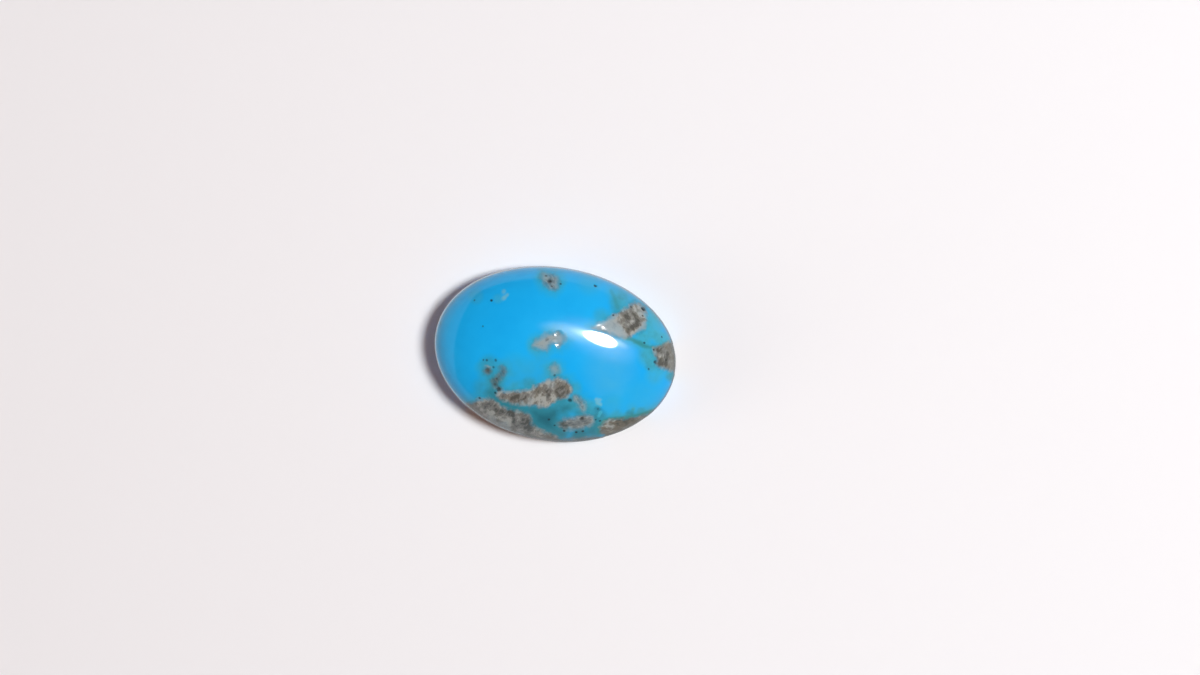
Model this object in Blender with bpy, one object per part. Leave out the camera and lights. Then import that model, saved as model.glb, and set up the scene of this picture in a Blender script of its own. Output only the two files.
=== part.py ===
"""An oval turquoise cabochon: a polished dome on a low girdle and a flat back.

Run it with blender --background --python part.py, or from Blender's text editor.
Metres, +Z up. The stone rests on its flat back at Z = 0, centred on the origin, with its long axis on X.
"""

import math

import bmesh
import bpy
from mathutils import Vector
from mathutils.bvhtree import BVHTree

STONE = "turquoise_cabochon"
MM = 0.001

# Outside sizes
LENGTH = 0.0180
WIDTH = 0.0129
HEIGHT = 0.0054

# How full the dome is: 2 is a quarter ellipse from rim to top, and more is flatter on top
FULLNESS = 2.2

# The girdle, a nearly upright wall between the dome and the flat back
GIRDLE_TOP = 0.0015
GIRDLE_LEAN = 0.00009
BACK_BEVEL = 0.00025

# How the hand-cut outline departs from a true oval, as shares of its half length or half width
EGG = -0.023
BEND = 0.016
SKEW = 0.013

# Quads across the dome's grid, and rings of quads down the girdle
DOME_QUADS = 56
GIRDLE_RINGS = 2

# Pits where grains of host rock have dropped out, placed on the dome as seen from above.
# Each is its x, its y, the radius of its mouth and its depth, all in millimetres.
PITS_MM = {
    "middle patch, upper": (0.02, 1.56, 0.16, 0.10),
    "middle patch, lower": (0.20, 0.77, 0.14, 0.09),
    "shoulder patch, tip": (3.20, 2.38, 0.13, 0.07),
    "shoulder patch, far side": (5.88, 4.36, 0.20, 0.12),
    "top edge patch": (-1.23, 5.25, 0.17, 0.10),
    "top edge, alone": (2.14, 5.46, 0.15, 0.10),
    "left cluster": (-4.64, -1.92, 0.19, 0.08),
    "lower band, left": (-3.59, -3.15, 0.18, 0.10),
    "lower band, middle": (0.05, -3.05, 0.20, 0.12),
    "lower band, right": (1.66, -3.10, 0.16, 0.10),
    "lower patch": (2.74, -4.31, 0.19, 0.12),
    "right edge patch": (7.37, 0.65, 0.17, 0.10),
}

HALF_LENGTH = LENGTH / 2
HALF_WIDTH = WIDTH / 2
DOME_HEIGHT = HEIGHT - GIRDLE_TOP


def clear_scene():
    """Remove every object that the file opened with."""
    for thing in list(bpy.data.objects):
        bpy.data.objects.remove(thing, do_unlink=True)


def outline(angle):
    """The widest outline, at an angle in radians round from the +X end, as a plan point."""
    along = math.cos(angle)
    across = math.sin(angle)
    x = HALF_LENGTH * (along + SKEW * across**2)
    y = HALF_WIDTH * across * (1 + EGG * along) + BEND * HALF_LENGTH * along**2
    return Vector((x, y, 0))


def inside_outline(angle, inset, height):
    """A point at the given height, set in from the outline towards the stone's middle."""
    edge = outline(angle)
    point = edge * (1 - inset / edge.length)
    point.z = height
    return point


def square_to_disc(x, y):
    """Map a point of the square from -1 to 1 to its angle and its share of the way out on a disc."""
    if x == 0 and y == 0:
        return 0, 0
    if abs(x) >= abs(y):
        angle = math.pi / 4 * (y / x)
        turned = x < 0
    else:
        angle = math.pi / 2 - math.pi / 4 * (x / y)
        turned = y < 0
    return angle + math.pi * turned, max(abs(x), abs(y))


def dome_point(angle, share):
    """A point of the dome, a full quarter ellipse swept round the outline; share runs from 0 on top to 1."""
    slope = share * math.pi / 2
    rim = inside_outline(angle, GIRDLE_LEAN, 0)
    point = rim * math.sin(slope) ** (2 / FULLNESS)
    point.z = GIRDLE_TOP + DOME_HEIGHT * math.cos(slope) ** (2 / FULLNESS)
    return point


def girdle_levels():
    """The inset and height of each ring below the dome, down to the flat back."""
    levels = []
    for ring in range(1, GIRDLE_RINGS + 1):
        share = ring / GIRDLE_RINGS
        inset = GIRDLE_LEAN * (1 - math.sin(share * math.pi / 2))
        levels.append((inset, GIRDLE_TOP + (BACK_BEVEL - GIRDLE_TOP) * share))
    levels.append((BACK_BEVEL, 0))
    return levels


def build_dome(bm):
    """Lift a square grid onto the dome, and return the angle of each vertex on its border."""
    half = DOME_QUADS / 2
    bmesh.ops.create_grid(bm, x_segments=DOME_QUADS, y_segments=DOME_QUADS, size=1)
    border = {}
    for vertex in bm.verts:
        column = round(vertex.co.x * half) / half
        row = round(vertex.co.y * half) / half
        angle, share = square_to_disc(column, row)
        vertex.co = dome_point(angle, share)
        if share == 1:
            border[vertex] = angle
    return border


def build_girdle(bm, border):
    """Carry the dome's border down the girdle and the back's bevel, and close the flat back."""
    ring = sorted(border, key=border.get)
    angles = [border[vertex] for vertex in ring]
    for inset, height in girdle_levels():
        lower = [bm.verts.new(inside_outline(angle, inset, height)) for angle in angles]
        for here in range(len(ring)):
            after = (here + 1) % len(ring)
            bm.faces.new((ring[here], lower[here], lower[after], ring[after]))
        ring = lower
    bm.faces.new(reversed(ring))


def surface_material():
    """Polished sky-blue stone."""
    material = bpy.data.materials.new("polished_turquoise")
    material.use_nodes = True
    shader = material.node_tree.nodes["Principled BSDF"]
    shader.inputs["Base Color"].default_value = (0.02, 0.36, 0.78, 1)
    shader.inputs["Roughness"].default_value = 0.2
    shader.inputs["Metallic"].default_value = 0
    return material


def build_stone():
    """The whole stone before its pits are sunk, as one closed object."""
    bm = bmesh.new()
    build_girdle(bm, build_dome(bm))
    bmesh.ops.recalc_face_normals(bm, faces=bm.faces)
    mesh = bpy.data.meshes.new(STONE)
    bm.to_mesh(mesh)
    bm.free()
    mesh.materials.append(surface_material())
    stone = bpy.data.objects.new(STONE, mesh)
    bpy.context.collection.objects.link(stone)
    return stone


def add_pit(bm, surface, x, y, mouth, depth):
    """Add a ball that cuts one shallow pit square to the dome's surface."""
    above = Vector((x, y, 2 * HEIGHT))
    spot, normal, _, _ = surface.ray_cast(above, Vector((0, 0, -1)))
    radius = (mouth**2 + depth**2) / (2 * depth)
    ball = bmesh.ops.create_icosphere(bm, subdivisions=2, radius=radius)
    bmesh.ops.translate(bm, verts=ball["verts"], vec=spot + normal * (radius - depth))


def sink_pits(stone):
    """Cut every named pit out of the stone with one Boolean."""
    solid = bmesh.new()
    solid.from_mesh(stone.data)
    surface = BVHTree.FromBMesh(solid)
    solid.free()
    bm = bmesh.new()
    for sizes in PITS_MM.values():
        add_pit(bm, surface, *(size * MM for size in sizes))
    mesh = bpy.data.meshes.new("pit_cutter")
    bm.to_mesh(mesh)
    bm.free()
    cutter = bpy.data.objects.new("pit_cutter", mesh)
    bpy.context.collection.objects.link(cutter)
    cutter.hide_render = True
    cutter.display_type = "WIRE"
    cut = stone.modifiers.new("Pits", "BOOLEAN")
    cut.operation = "DIFFERENCE"
    cut.solver = "EXACT"
    cut.object = cutter


def main():
    clear_scene()
    stone = build_stone()
    stone.data.shade_smooth()
    stone.data.set_sharp_from_angle(angle=math.radians(40))
    sink_pits(stone)


main()
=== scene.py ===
"""The looks of one polished turquoise cabochon, laid out as a Blender add-on and run as a script.

Everything is in metres, in the frame of the solid: the stone rests on its flat back at Z = 0, with its
long axis on X and its dome up. Places on the stone are written in millimetres, as seen from above.
"""

import math

import bpy
from bpy.props import FloatProperty, FloatVectorProperty, IntProperty, PointerProperty
from mathutils import Matrix, Vector


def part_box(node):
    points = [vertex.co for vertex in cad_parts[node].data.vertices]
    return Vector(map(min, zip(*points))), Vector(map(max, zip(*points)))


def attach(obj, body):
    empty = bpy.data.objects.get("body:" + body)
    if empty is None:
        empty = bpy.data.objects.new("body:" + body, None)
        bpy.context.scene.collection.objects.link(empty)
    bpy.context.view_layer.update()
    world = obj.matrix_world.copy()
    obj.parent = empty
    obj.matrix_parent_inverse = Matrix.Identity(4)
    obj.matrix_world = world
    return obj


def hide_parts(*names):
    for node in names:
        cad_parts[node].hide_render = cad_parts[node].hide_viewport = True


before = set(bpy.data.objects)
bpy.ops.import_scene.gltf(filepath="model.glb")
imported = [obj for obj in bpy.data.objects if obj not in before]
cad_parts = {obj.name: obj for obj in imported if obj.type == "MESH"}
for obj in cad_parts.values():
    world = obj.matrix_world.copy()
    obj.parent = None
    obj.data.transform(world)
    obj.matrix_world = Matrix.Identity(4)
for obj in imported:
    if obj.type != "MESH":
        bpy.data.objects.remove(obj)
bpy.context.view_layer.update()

bl_info = {
    "name": "Turquoise cabochon",
    "version": (1, 0, 0),
    "blender": (4, 5, 0),
    "location": "3D View > Sidebar > Cabochon",
    "description": "Cuts, polishes and lights one oval turquoise cabochon",
    "category": "Object",
}

MM = 0.001
NODE = "turquoise_cabochon"
PIECE = "polished_stone"

# The finished surface lies this far inside the solid's box
SKIN = 0.005 * MM
NODE_LOW, NODE_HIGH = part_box(NODE)
NODE_SIZE = NODE_HIGH - NODE_LOW

# Host rock on the dome and girdle. Each patch has its tone, about 0 for pale grey and 1 for olive brown,
# its veil from 0, bare, to 1, seen through a skin of blue, its lay, which is the direction of its grain in
# degrees round from +X, and its outline, which may leave the stone and then runs on down the girdle.
DOME_ROCK = {
    "shoulder": (0.35, 0.0, -53, (
        (2.46, 2.36), (2.75, 2.62), (3.12, 2.90), (3.60, 3.30), (4.16, 3.80), (4.62, 4.23), (4.96, 4.49),
        (5.26, 4.74), (5.61, 4.69), (5.93, 4.44), (6.13, 4.04), (6.23, 3.50), (6.17, 3.05), (5.94, 2.80),
        (5.62, 2.49), (5.29, 2.20), (5.06, 2.08), (4.65, 2.02), (4.34, 1.94), (3.93, 2.12), (3.30, 2.25),
        (2.71, 2.33))),
    "middle": (-0.3, 0.35, 30, (
        (-1.58, 0.44), (-1.46, 0.66), (-1.24, 0.90), (-1.02, 1.14), (-0.80, 1.34), (-0.50, 1.50),
        (-0.18, 1.64), (0.05, 1.74), (0.38, 1.55), (0.66, 1.15), (0.53, 1.05), (0.44, 0.82),
        (0.24, 0.62), (0.06, 0.82), (-0.08, 0.90), (-0.28, 0.87), (-0.33, 0.64), (-0.49, 0.40),
        (-0.66, 0.23), (-0.91, 0.20), (-1.20, 0.20), (-1.42, 0.27))),
    "lower band": (0.3, 0.0, 70, (
        (-3.72, -3.61), (-3.61, -3.28), (-3.20, -3.27), (-2.80, -3.19), (-2.30, -3.09), (-1.86, -2.90),
        (-1.36, -2.84), (-1.06, -2.56), (-0.67, -2.24), (-0.20, -1.91), (0.18, -1.72), (0.50, -1.62),
        (0.94, -1.65), (1.33, -1.79), (1.62, -2.07), (1.68, -2.50), (1.42, -2.90), (1.02, -3.06),
        (0.76, -3.18), (0.60, -3.40), (0.26, -3.65), (0.03, -3.91), (-0.39, -3.95), (-0.83, -3.85),
        (-1.15, -4.03), (-1.44, -3.95), (-1.78, -3.91), (-2.24, -4.06), (-2.67, -4.01), (-3.10, -3.93),
        (-3.53, -3.79))),
    "lower edge": (0.25, 0.1, 60, (
        (-5.75, -4.50), (-5.20, -4.33), (-4.85, -4.12), (-4.30, -3.94), (-3.80, -3.98), (-3.53, -4.16),
        (-3.24, -4.33), (-2.81, -4.43), (-2.28, -4.49), (-1.77, -4.46), (-1.34, -4.53), (-1.02, -4.73),
        (-0.88, -5.00), (-0.86, -5.25), (-0.58, -5.45), (-0.15, -5.59), (0.40, -5.76), (0.94, -5.90),
        (1.40, -6.15), (3.18, -5.74), (4.17, -5.46), (4.40, -5.90), (3.00, -7.60), (-3.50, -7.40),
        (-6.60, -5.60))),
    "right end": (0.3, 0.0, 80, (
        (7.08, 1.62), (7.35, 1.76), (7.74, 2.03), (8.00, 2.24), (9.80, 2.90), (10.00, -0.20), (8.90, 0.08),
        (8.46, 0.20), (7.78, 0.32), (7.41, 0.53), (7.43, 0.80), (7.41, 1.02), (7.28, 1.28), (7.16, 1.45))),
    "lower right edge": (0.85, 0.0, 20, (
        (4.52, -5.26), (4.19, -5.08), (4.10, -4.75), (4.27, -4.50), (4.48, -4.21), (4.74, -4.01),
        (5.12, -3.96), (5.53, -3.89), (5.86, -3.81), (6.26, -3.63), (6.67, -3.58), (7.02, -3.43),
        (7.42, -3.28), (7.80, -3.00), (8.90, -3.90), (5.80, -6.80), (4.60, -6.60))),
    "top edge": (0.3, 0.55, -50, (
        (-1.84, 5.70), (-1.45, 5.66), (-1.00, 5.74), (-0.70, 5.59), (-0.62, 5.20), (-0.62, 4.90),
        (-0.78, 4.72), (-1.14, 4.76), (-1.48, 4.92), (-1.66, 5.20))),
    "small": (0.0, 0.7, 90, (
        (-0.14, -0.94), (0.12, -0.74), (0.38, -0.82), (0.54, -1.12), (0.32, -1.32), (0.02, -1.22))),
    "lower": (0.2, 0.2, 10, (
        (1.09, -4.89), (1.37, -4.58), (1.86, -4.36), (2.38, -4.24), (2.76, -4.08), (3.19, -3.93),
        (3.50, -4.10), (3.63, -4.48), (3.32, -4.80), (2.82, -5.01), (2.20, -5.21), (1.60, -5.24),
        (1.19, -5.14))),
    "slant": (0.2, 0.4, -50, (
        (1.91, -2.79), (2.20, -2.76), (2.56, -2.95), (2.86, -3.20), (2.92, -3.58), (2.79, -3.81),
        (2.53, -3.59), (2.28, -3.29), (2.05, -3.06))),
    "left chain": (1.1, 0.55, -60, (
        (-3.70, -1.60), (-3.47, -1.58), (-3.34, -1.80), (-3.40, -2.09), (-3.59, -2.35), (-3.69, -2.62),
        (-3.65, -2.91), (-3.39, -3.13), (-3.62, -3.25), (-3.88, -3.10), (-4.13, -2.92), (-4.22, -2.60),
        (-4.07, -2.32), (-3.85, -2.09), (-3.75, -1.78))),
    "left cluster": (1.2, 0.2, 0, (
        (-4.88, -1.90), (-4.76, -2.10), (-4.52, -2.12), (-4.40, -1.92), (-4.52, -1.72), (-4.76, -1.70))),
}

# Host rock on the back, which meets the dome's rock at the rim
BACK_ROCK = {
    "lower edge": (0.5, 0.1, -20, (
        (-6.6, -5.6), (-5.1, -3.7), (-3.2, -3.4), (-1.4, -4.2), (0.4, -4.9), (2.6, -5.2), (4.4, -5.9),
        (3.0, -7.6), (-3.5, -7.4))),
    "right end": (0.4, 0.0, 80, (
        (9.8, 2.9), (8.0, 2.1), (6.2, 1.5), (5.9, 0.4), (7.2, -0.2), (8.7, 0.0), (10.0, -0.3))),
    "lower right edge": (0.8, 0.0, 20, (
        (8.9, -3.9), (7.2, -3.0), (5.6, -2.9), (4.5, -4.0), (4.5, -5.8), (5.8, -6.8))),
    "long vein": (0.3, 0.1, -20, (
        (-5.6, 2.6), (-3.8, 3.1), (-1.6, 2.2), (0.8, 1.6), (2.4, 0.4), (2.2, -0.2), (0.2, 0.7),
        (-2.0, 1.3), (-4.2, 2.0), (-5.4, 2.0))),
}

# Soft stains in the blue: x, y, reach, tone, and strength. Tone goes from -1, pale blue, through 0,
# green-blue, to 1, dark teal. The two pale sheen entries are painted sheen round the highlight, not stains.
STAINS_AND_SHEEN = {
    "teal core, left": (-0.45, -4.60, 1.30, 1.00, 0.9),
    "teal core, right": (0.35, -4.60, 1.10, 0.90, 0.8),
    "teal field, low": (0.25, -5.30, 1.20, 0.90, 0.9),
    "teal field, by the rim": (1.10, -5.75, 1.20, 0.75, 0.8),
    "between the lower patches, right": (-1.60, -4.20, 0.90, 0.80, 0.9),
    "between the lower patches, middle": (-2.45, -4.15, 0.80, 0.90, 0.9),
    "between the lower patches, left": (-3.25, -4.05, 0.80, 1.00, 0.95),
    "over the lower edge's left end": (-4.08, -3.62, 0.75, 0.85, 0.8),
    "under the band's right end": (1.10, -3.60, 1.30, 0.60, 0.80),
    "round the slant patch": (2.10, -3.30, 0.90, 0.45, 0.75),
    "over the lower patch": (2.60, -3.90, 0.65, 0.80, 0.8),
    "left of the faint patch": (3.20, -3.40, 0.90, 0.30, 0.7),
    "right of the lower patch": (3.95, -4.05, 0.90, 0.70, 0.8),
    "left of the lower right edge": (3.75, -5.00, 0.90, 0.80, 0.9),
    "under the lower patch, right": (2.75, -5.50, 0.90, 0.95, 0.9),
    "under the lower patch, left": (1.20, -5.25, 0.95, 0.90, 0.9),
    "beside the lower edge": (-0.05, -5.35, 0.70, 1.00, 0.9),
    "left cluster": (-4.50, -1.60, 1.10, 0.50, 0.55),
    "left chain": (-3.85, -2.60, 0.95, 0.55, 0.7),
    "left of the band": (-4.60, -3.20, 1.20, 0.40, 0.5),
    "past the shoulder": (6.80, 3.30, 1.20, 0.15, 0.75),
    "past the shoulder, low": (6.20, 2.20, 0.90, 0.20, 0.8),
    "past the shoulder, middle": (6.95, 2.55, 0.65, 0.20, 0.7),
    "past the shoulder, high": (6.90, 4.30, 0.90, 0.10, 0.7),
    "over the right end": (7.60, 2.40, 0.80, 0.20, 0.8),
    "left of the right end": (6.80, 1.00, 1.10, 0.25, 0.8),
    "left of the right end, low": (7.10, 0.40, 0.70, 0.45, 0.7),
    "under the right end": (7.50, -0.25, 1.00, 0.10, 0.45),
    "under the right end, by the rim": (8.70, -0.20, 0.60, 0.50, 0.9),
    "over the shoulder": (4.10, 4.40, 0.95, 0.50, 0.7),
    "over the shoulder, by the rim": (4.10, 4.95, 1.05, 0.25, 0.6),
    "over the shoulder's tip": (2.90, 3.40, 0.80, 0.25, 0.4),
    "left of the top edge patch": (-1.75, 5.50, 0.60, 0.30, 0.5),
    "right of the top edge patch": (-0.35, 5.25, 0.50, 0.05, 0.3),
    "upper left": (-6.40, 3.30, 0.80, 0.30, 0.35),
    "pale blotch, upper": (-4.43, 3.93, 0.24, -1.00, 0.6),
    "pale blotch, middle": (-4.12, 3.74, 0.20, -1.00, 0.6),
    "pale blotch, lower": (-4.30, 3.50, 0.28, -0.90, 0.7),
    "pale fleck, upper left": (3.55, -2.75, 0.22, -1.00, 0.8),
    "pale fleck, upper right": (3.79, -2.72, 0.20, -1.00, 0.8),
    "pale fleck, middle": (3.66, -2.99, 0.24, -1.00, 0.9),
    "pale fleck, right": (3.86, -3.04, 0.24, -1.00, 0.8),
    "pale fleck, lower": (3.96, -3.66, 0.20, -0.90, 0.7),
    "pale fleck, lowest": (3.90, -3.90, 0.18, -0.90, 0.6),
    "pale fleck on the spike": (6.34, -2.98, 0.22, -0.60, 0.5),
    "dark spot between the pale flecks": (3.74, -3.39, 0.34, 0.90, 0.5),
    "beside the pale blotches": (-4.70, 3.35, 0.50, -0.20, 0.4),
    "over the lower right edge, left": (5.20, -3.80, 0.70, 0.40, 0.6),
    "over the lower right edge, middle": (6.15, -3.50, 0.55, 0.85, 0.8),
    "over the lower right edge, right": (6.95, -3.20, 0.60, 0.60, 0.7),
    "round the small patch": (0.15, -1.20, 0.90, 0.25, 0.7),
    "over the band, right": (1.90, -2.20, 0.70, 0.30, 0.5),
    "over the band, middle": (-1.45, -2.45, 0.80, 0.50, 0.7),
    "over the band, left": (-2.60, -2.90, 0.80, 0.30, 0.5),
    "round the middle patch": (-1.50, 0.40, 0.80, 0.10, 0.4),
    "haze over the band, left": (-2.60, -1.70, 1.80, 0.20, 0.3),
    "haze over the band, right": (-1.00, -1.10, 1.50, 0.20, 0.25),
    "haze over the lower right edge": (4.70, -3.00, 1.20, 0.10, 0.3),
    "haze at the top edge": (1.70, 5.60, 1.20, 0.10, 0.25),
    # Painted sheen: the glow round the highlight's lower right, painted as pale blue
    "painted sheen right of the middle": (4.30, -0.60, 2.80, -0.60, 0.2),
    "painted sheen, lower right": (4.40, -2.00, 1.60, -0.40, 0.12),
    "haze by the lower right rim": (7.10, -2.20, 2.40, 0.00, 0.22),
}

# Soft marks in the host rock, in the same form. Tone goes from -2, washed over with pale blue, through
# -1, pale, to 1 and a little over, dark. A few are painted light: the sheen of the highlight's glow on the
# shoulder and round the middle patch's glints, and light on the lower edge's rim.
ROCK_MARKS = {
    "light grain low in the band, left": (-1.17, -3.61, 0.50, -1.0, 0.9),
    "light grain low in the band, middle": (-0.30, -3.55, 0.50, -0.9, 0.8),
    "light grain low in the band, right": (0.45, -3.08, 0.40, -1.0, 0.6),
    "light grain high in the band": (0.15, -2.15, 0.60, -1.1, 0.8),
    "light middle of the band": (-1.20, -2.90, 0.50, -0.5, 0.7),
    "light grain high in the band, left": (-2.47, -3.25, 0.40, -0.6, 0.6),
    "light left end of the band": (-3.42, -3.51, 0.45, -0.6, 0.7),
    "dark line across the band": (-2.04, -3.33, 0.24, 0.9, 0.6),
    "dark stretch of the band, left": (-2.31, -3.64, 0.40, 0.8, 0.6),
    "dark stretch of the band, middle": (-0.14, -2.66, 0.32, 0.8, 0.6),
    "dark stretch of the band, low": (-0.80, -3.85, 0.30, 1.0, 0.7),
    "dark stretch of the band, right": (0.95, -2.50, 0.48, 0.8, 0.6),
    "dark end of the band, low": (0.96, -2.90, 0.45, 1.2, 0.8),
    "light grain of the lower edge": (-2.64, -5.27, 0.45, -1.0, 0.7),
    "light grain of the lower edge, left": (-4.06, -4.88, 0.35, -0.8, 0.6),
    "light left end of the lower edge": (-4.25, -4.30, 0.50, -0.4, 0.7),
    "dark stretch of the lower edge, left": (-3.39, -4.77, 0.35, 1.0, 0.6),
    "dark stretch of the lower edge, middle": (-2.50, -4.85, 0.60, 1.1, 0.8),
    "dark stretch of the lower edge, right": (-1.00, -5.36, 0.60, 1.4, 0.9),
    # Painted light: the lower edge's rim painted paler, as if lit from below by the floor
    "painted light on the lower edge's rim, left": (-4.90, -4.95, 0.70, -0.6, 0.9),
    "painted light on the lower edge's rim, second": (-3.83, -5.55, 0.90, -1.2, 0.9),
    "painted light on the lower edge's rim, third": (-2.80, -5.90, 0.85, -1.5, 0.9),
    "painted light on the lower edge's rim, fourth": (-1.66, -6.20, 0.70, -1.0, 0.9),
    "painted light on the lower edge's rim, right": (-0.33, -6.20, 0.70, -0.5, 0.9),
    "light grain of the lower patch": (1.70, -4.70, 0.35, -0.5, 0.5),
    "dull lower patch": (2.10, -4.85, 0.90, 0.7, 0.8),
    "dull left end of the lower patch": (1.35, -4.95, 0.50, 1.2, 0.8),
    # Painted sheen: the highlight's glow on the shoulder's tip, painted in as pale blue-grey
    "painted sheen on the shoulder's tip": (3.00, 2.75, 1.20, -2.0, 0.9),
    "painted sheen on the shoulder's middle": (3.75, 2.80, 1.00, -1.6, 0.7),
    "painted sheen under the shoulder": (4.25, 2.30, 0.95, -2.0, 0.9),
    "light underside of the shoulder": (4.89, 2.30, 0.40, -1.0, 0.7),
    "light grain high in the shoulder": (5.55, 4.29, 0.55, -0.9, 0.9),
    "light rim of the shoulder": (6.10, 3.30, 0.35, -1.3, 0.8),
    "light rim of the shoulder, high": (5.84, 3.95, 0.45, -1.3, 0.9),
    "light corner of the shoulder": (5.90, 2.80, 0.40, -1.3, 0.8),
    "dark streak of the shoulder, high": (4.95, 4.32, 0.35, 1.0, 0.6),
    "dark streak of the shoulder, left": (4.48, 3.70, 0.50, 0.9, 0.8),
    "dark streak of the shoulder, middle": (4.90, 3.50, 0.50, 0.8, 0.7),
    "dark streak of the shoulder, right": (5.60, 3.25, 0.35, 1.0, 0.7),
    "dark streak of the shoulder, low": (5.25, 2.82, 0.35, 0.9, 0.6),
    "dull right end": (7.90, 1.05, 1.10, 0.80, 0.9),
    "dark spot of the right end": (8.20, 1.54, 0.28, 1.0, 0.7),
    "dark spot of the right end, low": (8.20, 0.97, 0.28, 1.0, 0.7),
    "dark corner of the right end": (7.40, 1.55, 0.30, 1.0, 0.6),
    "light grain of the right end": (7.60, 1.18, 0.26, -1.0, 0.7),
    "smooth rim of the right end": (8.70, 1.20, 0.60, -0.2, 0.9),
    "light grain of the lower right edge": (4.87, -4.58, 0.60, -0.8, 0.9),
    "dark stretch of the lower right edge, left": (5.54, -4.22, 0.42, 1.0, 0.8),
    "dark stretch of the lower right edge, middle": (5.98, -3.98, 0.42, 1.3, 0.9),
    "dark stretch of the lower right edge, right": (6.50, -3.78, 0.42, 1.3, 0.9),
    "smooth rim of the lower right edge, left": (5.92, -4.70, 0.55, -0.7, 0.9),
    "smooth rim of the lower right edge, middle": (6.45, -4.40, 0.50, -0.2, 0.9),
    "smooth rim of the lower right edge, right": (7.00, -3.95, 0.50, -0.6, 0.9),
    "dark core of the top edge patch": (-1.19, 5.28, 0.34, 0.8, 0.7),
    "dark core of the top edge patch, low": (-0.90, 4.90, 0.26, 0.6, 0.6),
    "light side of the top edge patch": (-0.66, 5.28, 0.36, -0.9, 0.7),
    "washed corner of the top edge patch": (-1.60, 5.50, 0.40, -1.3, 0.7),
    "dark spot of the left cluster": (-4.64, -1.92, 0.45, 1.2, 0.9),
    "dull left chain, upper": (-3.52, -1.85, 0.70, 0.9, 0.9),
    "dull left chain, lower": (-3.92, -2.65, 0.70, 0.7, 0.9),
    "pale middle patch": (-0.82, 0.87, 1.60, -1.1, 0.8),
    # Partly the pale rock of the middle patch's end, partly painted sheen round the glints of its pits
    "pale end of the middle patch and painted sheen round its glints": (0.30, 1.25, 0.70, -1.9, 0.9),
    "dark grain of the middle patch": (-0.66, 0.98, 0.22, 1.0, 0.7),
    "dark grain of the middle patch, left": (-1.02, 0.62, 0.16, 0.8, 0.6),
    "dark grain of the middle patch, right": (-0.22, 1.18, 0.18, 0.8, 0.6),
    "pale small patch": (0.20, -1.02, 0.70, -0.9, 0.9),
    "washed top of the band, left": (-2.88, -3.20, 0.35, -1.3, 0.8),
    "washed top of the band, middle": (-1.60, -2.75, 0.40, -1.2, 0.7),
}

# Green seams in the blue, each its strength and a line of points
SEAMS = {
    "shoulder to right end": (0.8, (
        (4.85, 2.05), (5.41, 1.95), (5.88, 1.82), (6.35, 1.67), (6.81, 1.61), (7.24, 1.69), (7.66, 1.89),
        (8.08, 2.14))),
    "above the shoulder": (0.35, ((3.30, 5.28), (3.60, 4.88), (3.80, 4.50), (4.00, 4.12))),
    "over the lower right edge": (0.9, (
        (4.11, -4.51), (4.35, -4.21), (4.74, -3.97), (5.48, -3.84), (6.18, -3.60), (6.89, -3.34),
        (7.73, -2.96))),
    "round the lower right edge's left end": (0.7, ((4.11, -4.51), (4.02, -4.80), (4.15, -5.15))),
    "spike": (0.8, ((6.36, -3.58), (6.32, -3.32))),
    "spike's tip": (0.5, ((6.32, -3.32), (6.27, -3.02))),
}

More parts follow.
